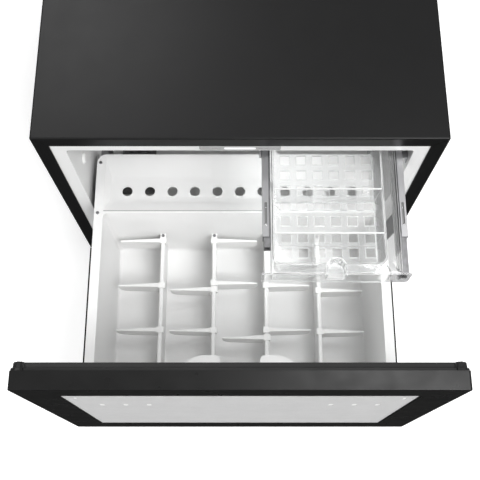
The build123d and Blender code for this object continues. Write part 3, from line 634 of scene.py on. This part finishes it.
@dataclass
class SubAssembly:
    """A group of pieces: CAD nodes that keep their shape, and copies with eased edges."""

    kept: Kept = field(default_factory=dict)
    eased: Eased = field(default_factory=dict)

    def dress(self) -> list[bpy.types.Object]:
        """Give the CAD nodes that keep their shape their finish.

        Returns:
            The dressed nodes.
        """
        nodes = []
        for name, finish in self.kept.items():
            node = frame["nodes"][name]
            node.data.materials.clear()
            node.data.materials.append(finish.material())
            nodes.append(node)
        return nodes

    def shape(self, node: str) -> bmesh.types.BMesh:
        """The mesh that a node's copy starts from.

        Args:
            node: the node's name.

        Returns:
            The mesh.
        """
        return merged_copy(node)

    def ease(self) -> list[bpy.types.Object]:
        """Copy the other CAD nodes and round their sharp edges.

        Returns:
            The copies, each in its node's place.
        """
        pieces = []
        for name, (finish, width) in self.eased.items():
            piece = place_piece(name + "_eased", self.shape(name), finish, body_of(name))
            edge = piece.modifiers.new(EASE_NAME, "BEVEL")
            edge.width = width
            edge.segments = EASE_STEPS
            edge.limit_method = "ANGLE"
            edge.angle_limit = EASE_ANGLE
            edge.harden_normals = True
            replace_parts(piece, name)
            pieces.append(piece)
        return pieces

    def build(self) -> list[bpy.types.Object]:
        """Dress and ease the group's pieces.

        Returns:
            The pieces.
        """
        return self.dress() + self.ease()


@dataclass
class Casing(SubAssembly):
    """Black steel casing with its base, back and insulation."""

    kept: Kept = field(default_factory=lambda: {
        "casing_wrap": POWDER_COAT,
        "back_panel": POWDER_COAT,
        "foam_core": FOAM,
    })
    eased: Eased = field(default_factory=lambda: {
        "base_pan": (POWDER_COAT, 0.4 * MM),
    })


@dataclass
class Liner(SubAssembly):
    """White moulded liner with its plugs and the grille on its floor."""

    kept: Kept = field(default_factory=lambda: {"inner_liner": WHITE_PLASTIC})
    eased: Eased = field(default_factory=lambda: {
        "wall_plugs": (FIN_PLASTIC, 0.5 * MM),
        "air_grille": (DUCT_PLASTIC, 0.4 * MM),
        "lamp_housing": (LAMP_PLASTIC, 0.3 * MM),
        "lamp_lens": (LAMP_LENS, 0.3 * MM),
    })


@dataclass
class DrawerFront(SubAssembly):
    """Drawer front: black frame, grey panel with clipped slots, inner panel and insulation."""

    kept: Kept = field(default_factory=lambda: {
        "door_frame": BLACK_PLASTIC,
        "door_panel": DOOR_PANEL,
        "door_foam": FOAM,
        "door_inner_panel": WHITE_PLASTIC,
    })
    eased: Eased = field(default_factory=lambda: {
        "panel_clips": (CLIP_PLASTIC, 0.25 * MM),
    })


@dataclass
class DoorSeal(SubAssembly):
    """Rubber seal round the drawer front's back, raised ring by ring from its outline.

    Each ring is a step inwards and a step up from the one before it, in millimetres.
    """

    corner: float = 6.0 * MM
    corner_steps: int = 6
    rings: tuple[tuple[float, float], ...] = (
        (0.4, 3.6), (0.7, 0.7), (3.0, 0.2), (0.5, -1.3), (0.9, 0.0), (0.4, 1.3),
        (0.4, 5.4), (0.6, 1.5), (1.2, 0.6), (3.6, 0.0), (1.2, -0.6), (0.6, -1.5),
        (0.4, -5.4), (1.6, -0.2), (0.7, -0.6), (0.4, -3.7),
    )

    def build(self) -> list[bpy.types.Object]:
        """Raise the seal's rings.

        Returns:
            The seal.
        """
        low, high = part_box("gasket")
        shape = bmesh.new()
        bmesh.ops.create_grid(shape, x_segments=1, y_segments=1, size=0.5)
        size = Matrix.Diagonal((high.x - low.x, high.z - low.z, 1.0, 1.0))
        bmesh.ops.transform(shape, matrix=size, verts=shape.verts[:])
        bmesh.ops.bevel(
            shape, geom=shape.verts[:], offset=self.corner, segments=self.corner_steps, profile=0.5,
            affect="VERTICES", material=-1,
        )
        top = shape.faces[:][0]
        for inset, rise in self.rings:
            bmesh.ops.inset_region(
                shape, faces=[top], thickness=inset * MM, depth=rise * MM, use_boundary=True
            )
        bmesh.ops.delete(shape, geom=[top], context="FACES")
        bmesh.ops.bridge_loops(shape, edges=open_edges(shape))
        middle = ((low.x + high.x) / 2, low.y, (low.z + high.z) / 2)
        place = Matrix.Translation(middle) @ Facing.BACK.value
        bmesh.ops.transform(shape, matrix=place, verts=shape.verts[:])
        bmesh.ops.recalc_face_normals(shape, faces=shape.faces[:])
        seal = place_piece("door_seal", shape, RUBBER, body_of("gasket"))
        return [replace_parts(seal, "gasket")]


@dataclass
class CrossScrews:
    """Low screw heads with a cross recess, standing on the places of a CAD node's heads.

    The recess is the cross in a grid of three by three cells. The grid's half width, the draft of
    the cross and the widths in the outline are shares of the head's radius, and the cross's depth
    and the levels in the outline are shares of its height. Each head is turned by an angle that
    follows its place, in degrees.
    """

    node: str = "rim_screws"
    facing: Facing = Facing.UP
    cells: int = 3
    recess: float = 0.5
    draft: float = 0.02
    sunk: float = 0.55
    outline: tuple[tuple[float, float], ...] = ((0.78, 1.0), (0.94, 0.8), (1.0, 0.5), (1.0, 0.0))
    turn: float = 17.0
    turn_per_metre: float = 1000.0

    def head(self, radius: float, height: float) -> bmesh.types.BMesh:
        """Make one head, standing on its origin.

        Args:
            radius: the head's radius.
            height: its height.

        Returns:
            The head.
        """
        shape = bmesh.new()
        half = radius * self.recess
        bmesh.ops.create_grid(shape, x_segments=self.cells, y_segments=self.cells, size=half)
        bmesh.ops.translate(shape, vec=(0.0, 0.0, height), verts=shape.verts[:])
        arm = half / self.cells
        cross = [f for f in shape.faces if min(abs(c) for c in f.calc_center_median().xy) < arm]
        bmesh.ops.inset_region(
            shape, faces=cross, thickness=radius * self.draft, depth=-height * self.sunk
        )
        bmesh.ops.subdivide_edges(shape, edges=open_edges(shape), cuts=1)
        for share, level in self.outline:
            made = bmesh.ops.extrude_edge_only(shape, edges=open_edges(shape))["geom"]
            for vert in corners_in(made):
                vert.co = Vector((vert.co.x, vert.co.y, 0.0)).normalized() * radius * share
                vert.co.z = height * level
        bmesh.ops.contextual_create(shape, geom=open_edges(shape))
        bmesh.ops.recalc_face_normals(shape, faces=shape.faces[:])
        return shape

    def build(self) -> list[bpy.types.Object]:
        """Set a head on each place.

        Returns:
            One piece with all the heads.
        """
        whole = bmesh.new()
        for low, high in separate_boxes(self.node):
            size = high - low
            middle = (low + high) / 2
            foot = Vector((middle.x, low.y, middle.z))
            height = size.y
            if self.facing is Facing.UP:
                foot = Vector((middle.x, middle.y, low.z))
                height = size.z
            head = self.head(size.x / 2, height)
            angle = math.radians(self.turn + self.turn_per_metre * middle.x)
            turned = Matrix.Rotation(angle, 4, "Z")
            join_shape(whole, head, Matrix.Translation(foot) @ self.facing.value @ turned)
        heads = place_piece(self.node + "_heads", whole, SCREW_STEEL, body_of(self.node))
        return [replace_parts(heads, self.node)]


@dataclass
class DrawerTub(SubAssembly):
    """White insert with its side frames, and the seam behind the well with a grey strip in it,
    painted shade along the seam line.
    """

    eased: Eased = field(default_factory=lambda: {
        "drawer_insert": (WHITE_PLASTIC, 0.7 * MM),
        "left_side_frame": (POWDER_COAT, 0.4 * MM),
        "right_side_frame": (POWDER_COAT, 0.4 * MM),
    })
    seam_setback: float = 98.4 * MM
    seam_width: float = 1.8 * MM
    seam_depth: float = 1.5 * MM
    seam_half: float = 219.5 * MM
    strip_gap: float = 0.1 * MM
    strip_height: float = 1.2 * MM

    def shape(self, node: str) -> bmesh.types.BMesh:
        """The mesh that a node's copy starts from, with the insert's seam cut.

        Args:
            node: the node's name.

        Returns:
            The mesh.
        """
        shape = super().shape(node)
        if node == "drawer_insert":
            self.cut_seam(shape)
        return shape

    def cut_seam(self, shape: bmesh.types.BMesh) -> None:
        """Cut the fine seam across the insert's top, between the well and the shelf.

        Args:
            shape: the insert's mesh.
        """
        rim = max(vert.co.z for vert in shape.verts)
        rear = max(vert.co.y for vert in shape.verts) - self.seam_setback
        front = rear - self.seam_width

        def top_faces() -> list[bmesh.types.BMFace]:
            """The faces that lie level with the rim.

            Returns:
                The faces.
            """
            return [
                face for face in shape.faces
                if all(abs(vert.co.z - rim) < SNAP for vert in face.verts)
            ]

        along, across = Vector((0.0, 1.0, 0.0)), Vector((1.0, 0.0, 0.0))
        for place, normal in (
            (along * front, along), (along * rear, along),
            (across * -self.seam_half, across), (across * self.seam_half, across),
        ):
            faces = top_faces()
            edges = {edge for face in faces for edge in face.edges}
            verts = {vert for face in faces for vert in face.verts}
            bmesh.ops.bisect_plane(
                shape, geom=[*faces, *edges, *verts], plane_co=place, plane_no=normal, dist=SNAP
            )
        seam = []
        for face in top_faces():
            middle = face.calc_center_median()
            if front < middle.y < rear and abs(middle.x) < self.seam_half:
                seam.append(face)
        made = bmesh.ops.extrude_face_region(shape, geom=seam)["geom"]
        bmesh.ops.delete(shape, geom=seam, context="FACES_ONLY")
        bmesh.ops.translate(shape, verts=corners_in(made), vec=(0.0, 0.0, -self.seam_depth))

    def seam_shade_strip(self) -> bpy.types.Object:
        """The grey strip that lies in the seam, painted shade along the seam line.

        Returns:
            The strip.
        """
        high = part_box("drawer_insert")[1]
        width = 2 * (self.seam_half - self.strip_gap)
        strip = block(width, self.seam_width - 2 * self.strip_gap, self.strip_height)
        setback = self.seam_setback + self.seam_width / 2
        floor = high.z - self.seam_depth
        middle = Vector((0.0, high.y - setback, floor + self.strip_height / 2))
        bmesh.ops.translate(strip, verts=strip.verts[:], vec=middle)
        # the strip's grey is painted shade
        return place_piece("insert_seam_shade_strip", strip, SEAM_SHADE_GREY, body_of("drawer_insert"))

    def build(self) -> list[bpy.types.Object]:
        """Ease the insert and its frames, and add the seam's strip.

        Returns:
            The pieces.
        """
        return super().build() + [self.seam_shade_strip()]


@dataclass
class Separators(SubAssembly):
    """Dividers in the well and the fins that slide on them."""

    dividers: int = 4
    divider_edge: float = 0.5 * MM
    fins: int = 12
    fin_edge: float = 0.6 * MM

    def build(self) -> list[bpy.types.Object]:
        """Ease the dividers and the fins.

        Returns:
            The pieces.
        """
        for number in range(1, self.dividers + 1):
            self.eased[f"divider_{number}"] = (WHITE_PLASTIC, self.divider_edge)
        for number in range(1, self.fins + 1):
            self.eased[f"fin_{number:02d}"] = (FIN_PLASTIC, self.fin_edge)
        return super().build()


@dataclass
class Tray(SubAssembly):
    """Clear tray with its cross walls."""

    eased: Eased = field(default_factory=lambda: {
        "tray_tub": (CLEAR_PLASTIC, 0.45 * MM),
        "tray_dividers": (CLEAR_WALL, 0.5 * MM),
    })

    def build(self) -> list[bpy.types.Object]:
        """Ease the tray's pieces and give the eased edges a hazier white finish, a painted
        highlight.

        Returns:
            The pieces.
        """
        pieces = super().build()
        for piece in pieces:
            # the eased edges get the painted highlight finish
            piece.data.materials.append(CLEAR_EDGE_HIGHLIGHT.material())
            piece.modifiers[EASE_NAME].material = len(piece.data.materials) - 1
        return pieces


@dataclass
class BallSlides(SubAssembly):
    """Ball slides of the drawer and the tray, with what shows in the tray slides' windows."""

    eased: Eased = field(default_factory=lambda: {
        name: (ZINC, 0.3 * MM)
        for name in (
            "left_cabinet_rail", "right_cabinet_rail", "left_mid_rail", "right_mid_rail",
            "left_drawer_rail", "right_drawer_rail", "tray_cabinet_rails", "tray_mid_rails",
            "tray_hanger", "tray_wall_bracket",
        )
    # the tray's own rails take the darker zinc, painted shade
    } | {"tray_rails": (SHADED_ZINC, 0.3 * MM)})
    window_start: float = 16.5 * MM
    window_length: float = 34.0 * MM
    window_inset: float = 4.65 * MM
    cage_width: float = 4.6 * MM
    cage_thick: float = 0.8 * MM
    cage_drop: float = 2.2 * MM
    cage_edge: float = 0.25 * MM
    ball: float = 1.1 * MM
    ball_share: float = 0.78
    ball_levels: int = 3
    stop_radius: float = 1.7 * MM
    stop_rise: float = 2.3 * MM
    stop_inset: float = 1.2 * MM
    stop_drop: float = 1.2 * MM
    stop_sides: int = 24

    def window_places(self) -> list[Vector]:
        """The windows in the tray slides' upper edges.

        Returns:
            The middle of each window's front end.
        """
        low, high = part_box("tray_mid_rails")
        y = low.y + self.window_start
        sides = (low.x + self.window_inset, high.x - self.window_inset)
        return [Vector((x, y, high.z)) for x in sides]

    def ball_cages(self) -> bpy.types.Object:
        """The dark cages that fill the tray slides' windows.

        Returns:
            One piece for both slides.
        """
        whole = bmesh.new()
        for place in self.window_places():
            cage = block(self.cage_width, self.window_length, self.cage_thick)
            bmesh.ops.bevel(
                cage, geom=cage.edges[:], offset=self.cage_edge, segments=EASE_STEPS, profile=0.5,
                affect="EDGES", material=-1,
            )
            drop = self.cage_drop + self.cage_thick / 2
            middle = place + Vector((0.0, self.window_length / 2, -drop))
            join_shape(whole, cage, Matrix.Translation(middle))
        return place_piece("tray_slide_cages", whole, DUCT_PLASTIC, body_of("tray_mid_rails"))

    def stop(self) -> bmesh.types.BMesh:
        """Make one round stop, a dome on a post, with the dome's centre at the origin.

        Returns:
            The stop.
        """
        shape = bmesh.new()
        bmesh.ops.create_uvsphere(
            shape, u_segments=self.stop_sides, v_segments=self.stop_sides // 2,
            radius=self.stop_radius,
        )
        bmesh.ops.bisect_plane(
            shape, geom=shape.verts[:] + shape.edges[:] + shape.faces[:], plane_co=(0.0, 0.0, 0.0),
            plane_no=(0.0, 0.0, 1.0), dist=SNAP, clear_inner=True,
        )
        made = bmesh.ops.extrude_edge_only(shape, edges=open_edges(shape))["geom"]
        bmesh.ops.translate(shape, vec=(0.0, 0.0, -self.stop_rise), verts=corners_in(made))
        bmesh.ops.contextual_create(shape, geom=open_edges(shape))
        bmesh.ops.recalc_face_normals(shape, faces=shape.faces[:])
        return shape

    def ball_stops(self) -> bpy.types.Object:
        """The ball at the rear and the round stop at the front of each window.

        Returns:
            One piece for both slides.
        """
        whole = bmesh.new()
        for place in self.window_places():
            ball = bmesh.new()
            bmesh.ops.create_icosphere(ball, subdivisions=self.ball_levels, radius=self.ball)
            back = Vector((0.0, self.window_length * self.ball_share, -self.cage_drop))
            join_shape(whole, ball, Matrix.Translation(place + back))
            front = Vector((0.0, self.stop_inset, -self.stop_drop))
            join_shape(whole, self.stop(), Matrix.Translation(place + front))
        return place_piece("tray_slide_balls", whole, BALL_STEEL, body_of("tray_mid_rails"))

    def build(self) -> list[bpy.types.Object]:
        """Ease the slides, and add their cages, balls and stops.

        Returns:
            The pieces.
        """
        return super().build() + [self.ball_cages(), self.ball_stops()]


@dataclass
class CoolingUnit(SubAssembly):
    """Cooling stack, fan and cover on the cabinet's rear."""

    kept: Kept = field(default_factory=lambda: {
        "cold_sink": ALUMINIUM,
        "spacer_block": ALUMINIUM,
        "cooling_module": CERAMIC,
        "heat_sink": ALUMINIUM,
        "fan_frame": BLACK_PLASTIC,
        "fan_rotor": BLACK_PLASTIC,
    })
    eased: Eased = field(default_factory=lambda: {
        "rear_cover": (POWDER_COAT, 0.4 * MM),
    })


@dataclass
class ControlBox(SubAssembly):
    """Controller box with its power inlet."""

    eased: Eased = field(default_factory=lambda: {
        "control_box": (BLACK_PLASTIC, 0.6 * MM),
        "power_inlet": (BLACK_PLASTIC, 0.3 * MM),
    })


@dataclass(frozen=True)
class Lamp:
    """A square soft light: where it hangs and aims, its width in metres and its power in watts."""

    name: str
    place: Place
    aim: Place
    size: float
    power: float

    def hang(self) -> None:
        """Hang the light in its place, turned to its aim."""
        lamp = bpy.data.lights.new(self.name, "AREA")
        lamp.shape = "SQUARE"
        lamp.size = self.size
        lamp.energy = self.power
        holder = bpy.data.objects.new(self.name, lamp)
        holder.location = self.place
        beam = Vector(self.aim) - Vector(self.place)
        holder.rotation_euler = beam.to_track_quat("-Z", "Y").to_euler()
        bpy.context.scene.collection.objects.link(holder)


@dataclass
class Studio:
    """Pale floor, soft lights and the camera at the photograph's angle.

    Places and sizes are in metres, the tilt in degrees, the lens and the sensor in millimetres.
    """

    camera_place: Place = (0.0, -0.693, 1.4089)
    camera_tilt: float = 19.07
    lens: float = 58.48
    sensor: float = 36.0
    floor_size: float = 6.0
    floor_drop: float = 0.2 * MM
    floor_patch: float = 0.6
    floor_tones: tuple[Colour, Colour] = ((0.90, 0.90, 0.90), (0.93, 0.93, 0.93))
    floor_roughness: float = 0.7
    floor_specular: float = 0.2
    floor_glow: float = 0.35
    sky: float = 0.42
    ground: float = 0.04
    horizon: tuple[float, float] = (-0.15, 0.25)
    lamps: tuple[Lamp, ...] = (
        Lamp("key", (1.2, -1.95, 3.1), (0.0, -0.2, 0.2), 1.4, 86.0),
        Lamp("left_fill", (-1.9, -1.7, 1.4), (0.0, -0.5, 0.2), 1.4, 12.0),
        Lamp("rear_softbox", (-0.75, 1.25, 2.2), (0.0, 0.0, 0.4), 0.9, 15.5),
        Lamp("overhead_softbox", (0.6, -0.23, 2.37), (0.3, -0.5, 0.4), 0.7, 12.0),
    )

    def floor(self) -> None:
        """Lay the pale floor."""
        graph = ShaderGraph("pale_floor")
        sockets = {
            "Base Color": graph.blend(graph.noise(self.floor_patch, SOFT), *self.floor_tones),
            "Roughness": self.floor_roughness,
            "Specular IOR Level": self.floor_specular,
            "Emission Color": (1.0, 1.0, 1.0, 1.0),
            "Emission Strength": self.floor_glow,
        }
        material = graph.finish(graph.add("BsdfPrincipled", sockets).outputs["BSDF"])
        shape = bmesh.new()
        bmesh.ops.create_grid(shape, x_segments=1, y_segments=1, size=self.floor_size / 2)
        bmesh.ops.translate(shape, vec=(0.0, 0.0, -self.floor_drop), verts=shape.verts[:])
        mesh = bpy.data.meshes.new("floor")
        shape.to_mesh(mesh)
        shape.free()
        mesh.materials.append(material)
        floor = bpy.data.objects.new("floor", mesh)
        floor.visible_glossy = False
        bpy.context.scene.collection.objects.link(floor)

    def surround(self) -> None:
        """Set the sky, which darkens to the ground across the horizon."""
        world = bpy.data.worlds.new("soft_sky")
        world.use_nodes = True
        nodes = world.node_tree.nodes
        up = nodes.new("ShaderNodeSeparateXYZ")
        height = nodes.new("ShaderNodeMapRange")
        start, end = self.horizon
        limits = {"From Min": start, "From Max": end, "To Min": self.ground, "To Max": self.sky}
        for key, value in limits.items():
            height.inputs[key].default_value = value
        joins = (
            (nodes.new("ShaderNodeTexCoord").outputs["Generated"], up.inputs["Vector"]),
            (up.outputs["Z"], height.inputs["Value"]),
            (height.outputs["Result"], nodes["Background"].inputs["Strength"]),
        )
        for source, target in joins:
            world.node_tree.links.new(source, target)
        nodes["Background"].inputs["Color"].default_value = (1.0, 1.0, 1.0, 1.0)
        bpy.context.scene.world = world

    def shoot(self) -> None:
        """Set the camera and how its picture is toned."""
        data = bpy.data.cameras.new("camera")
        data.sensor_width = self.sensor
        data.lens = self.lens
        camera = bpy.data.objects.new("camera", data)
        camera.location = self.camera_place
        camera.rotation_euler = (math.radians(self.camera_tilt), 0.0, 0.0)
        bpy.context.scene.collection.objects.link(camera)
        bpy.context.scene.camera = camera
        bpy.context.scene.view_settings.view_transform = "Standard"

    def build(self) -> list[bpy.types.Object]:
        """Set up the studio.

        Returns:
            No pieces, because none of it is part of the object.
        """
        self.floor()
        for lamp in self.lamps:
            lamp.hang()
        self.surround()
        self.shoot()
        return []


def main() -> None:
    """Build each sub-assembly and the studio."""
    logging.basicConfig(level=logging.INFO, format="%(message)s")
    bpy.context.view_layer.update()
    groups: tuple[Group, ...] = (
        Casing(), Liner(), DrawerFront(), DoorSeal(), DrawerTub(), CrossScrews("rim_screws"),
        Separators(), CrossScrews("divider_screws"), Tray(), BallSlides(), CoolingUnit(),
        CrossScrews("rear_screws", Facing.BACK), ControlBox(), Studio(),
    )
    for group in groups:
        for piece in group.build():
            log.info("%s: %s rides on %s", type(group).__name__, piece.name, piece["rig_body"])


if __name__ == "__main__":
    main()
